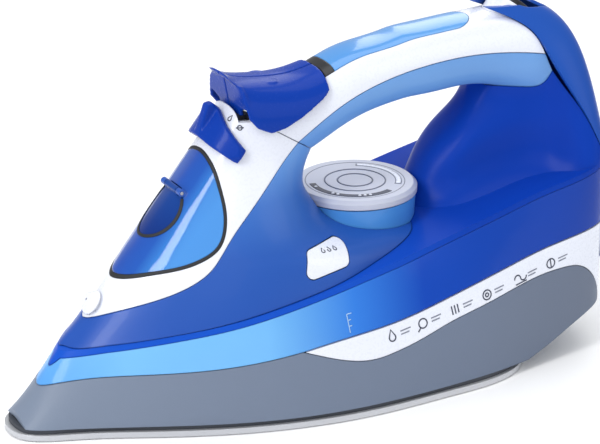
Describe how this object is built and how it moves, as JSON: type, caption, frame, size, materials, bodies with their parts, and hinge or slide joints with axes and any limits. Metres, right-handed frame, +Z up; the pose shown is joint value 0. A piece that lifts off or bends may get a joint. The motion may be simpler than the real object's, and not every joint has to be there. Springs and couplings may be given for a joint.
{
  "type": "steam iron",
  "caption": "Household steam iron with a steam-vented soleplate, blue water tank, closed loop handle, temperature dial, steam lever, thumb buttons and filler flap.",
  "frame": {"origin": "centre of the bounding box in plan, at the soleplate underside", "axes": "-X to the nose tip, +X to the heel, +Y to the right of someone who looks along the nose, +Z up from the soleplate"},
  "size_m": [0.272, 0.1164, 0.1553],
  "materials": {
    "sole": "satin",
    "grey_plastic": "satin",
    "white_gloss": "gloss",
    "tank_blue": "gloss",
    "satin_blue": "satin",
    "deep_blue": "satin",
    "pale_blue": "gloss",
    "window_blue": "gloss",
    "black_rubber": "matte",
    "black_plastic": "matte",
    "steel": "satin",
    "brass": "satin",
    "cast_aluminium": "cast",
    "inner_plastic": "satin",
    "lamp": "gloss"
  },
  "bodies": {
    "base": {"body_shell": "satin_blue", "button_pin": "steel", "chamber_lid": "cast_aluminium", "chamber_screws": "steel", "clean_spring": "steel", "cord_clamp": "inner_plastic", "cord_gland": "white_gloss", "cover_screws": "steel", "dial_ring": "pale_blue", "fascia": "white_gloss", "filler_neck": "inner_plastic", "flap_pin": "steel", "front_window": "window_blue", "grip": "satin_blue", "handle_cover": "white_gloss", "handle_insert": "pale_blue", "heat_seal": "black_rubber", "heat_shield": "black_plastic", "heater_casting": "cast_aluminium", "heating_element": "steel", "heel_feet": "black_rubber", "heel_plate": "grey_plastic", "insert_band": "black_plastic", "pilot_lamp": "lamp", "rear_cover": "deep_blue", "side_trim": "white_gloss", "skirt": "grey_plastic", "skirt_screws": "steel", "soleplate": "sole", "spindle_tube": "inner_plastic", "spray_hose": "black_rubber", "spray_nozzle": "white_gloss", "spray_pump": "inner_plastic", "spray_spring": "steel", "steam_hose": "black_rubber", "steam_pump": "inner_plastic", "steam_spring": "steel", "tank_cover": "tank_blue", "tank_floor": "tank_blue", "terminal_block": "inner_plastic", "thermal_fuse": "steel", "thermostat": "steel", "valve_seat": "brass", "valve_spring": "steel", "water_tank": "tank_blue", "window_seal": "black_rubber", "wires": "black_rubber"},
    "dial": {"temperature_dial": "white_gloss", "thermostat_spindle": "steel"},
    "lever": {"steam_lever": "deep_blue"},
    "needle": {"valve_needle": "brass"},
    "spray_key": {"spray_button": "deep_blue"},
    "steam_key": {"steam_button": "deep_blue"},
    "spray_rod": {"spray_plunger": "inner_plastic"},
    "steam_rod": {"steam_plunger": "inner_plastic"},
    "clean_key": {"clean_button": "white_gloss"},
    "flap": {"filler_flap": "window_blue"},
    "swivel": {"cord_swivel": "black_plastic"}
  },
  "joints": [
    {"name": "dial_turn", "type": "hinge", "parent": "base", "child": "dial", "pos_m": [0.027, 0, 0.0795], "axis": [0, 0, 1], "range_deg": [0, 270]},
    {"name": "lever_turn", "type": "hinge", "parent": "base", "child": "lever", "pos_m": [-0.027, 0, 0.105], "axis": [0.6293, 0, 0.7771], "range_deg": [-18, 18]},
    {"name": "needle_lift", "type": "slide", "parent": "base", "child": "needle", "axis": [0, 0, 1], "range_m": [-0.001, 0.001], "deforming": ["valve_spring"]},
    {"name": "spray_press", "type": "hinge", "parent": "base", "child": "spray_key", "pos_m": [0.0026, 0, 0.131], "axis": [0, -1, 0], "range_deg": [0, 6], "stiffness_Nm_per_rad": 0.5},
    {"name": "steam_press", "type": "hinge", "parent": "base", "child": "steam_key", "pos_m": [0.0026, 0, 0.131], "axis": [0, -1, 0], "range_deg": [0, 6], "stiffness_Nm_per_rad": 0.5},
    {"name": "spray_stroke", "type": "slide", "parent": "base", "child": "spray_rod", "axis": [0, 0, -1], "range_m": [0, 0.00205], "deforming": ["spray_spring"]},
    {"name": "steam_stroke", "type": "slide", "parent": "base", "child": "steam_rod", "axis": [0, 0, -1], "range_m": [0, 0.00205], "deforming": ["steam_spring"]},
    {"name": "clean_press", "type": "slide", "parent": "base", "child": "clean_key", "axis": [0, 0.9272, -0.3746], "range_m": [0, 0.0025], "stiffness_N_per_m": 400},
    {"name": "flap_open", "type": "hinge", "parent": "base", "child": "flap", "pos_m": [-0.05897, 0, 0.09439], "axis": [0, 1, 0], "range_deg": [0, 75]},
    {"name": "cord_turn", "type": "hinge", "parent": "base", "child": "swivel", "pos_m": [0.101, 0, 0.1435], "axis": [0.6157, 0, 0.788], "range_deg": [-170, 170]}
  ],
  "couplings": [
    {"joint": "needle_lift", "follows": "lever_turn", "m_per_rad": 0.0031831},
    {"joint": "spray_stroke", "follows": "spray_press", "m_per_rad": 0.0196},
    {"joint": "steam_stroke", "follows": "steam_press", "m_per_rad": 0.0196}
  ]
}
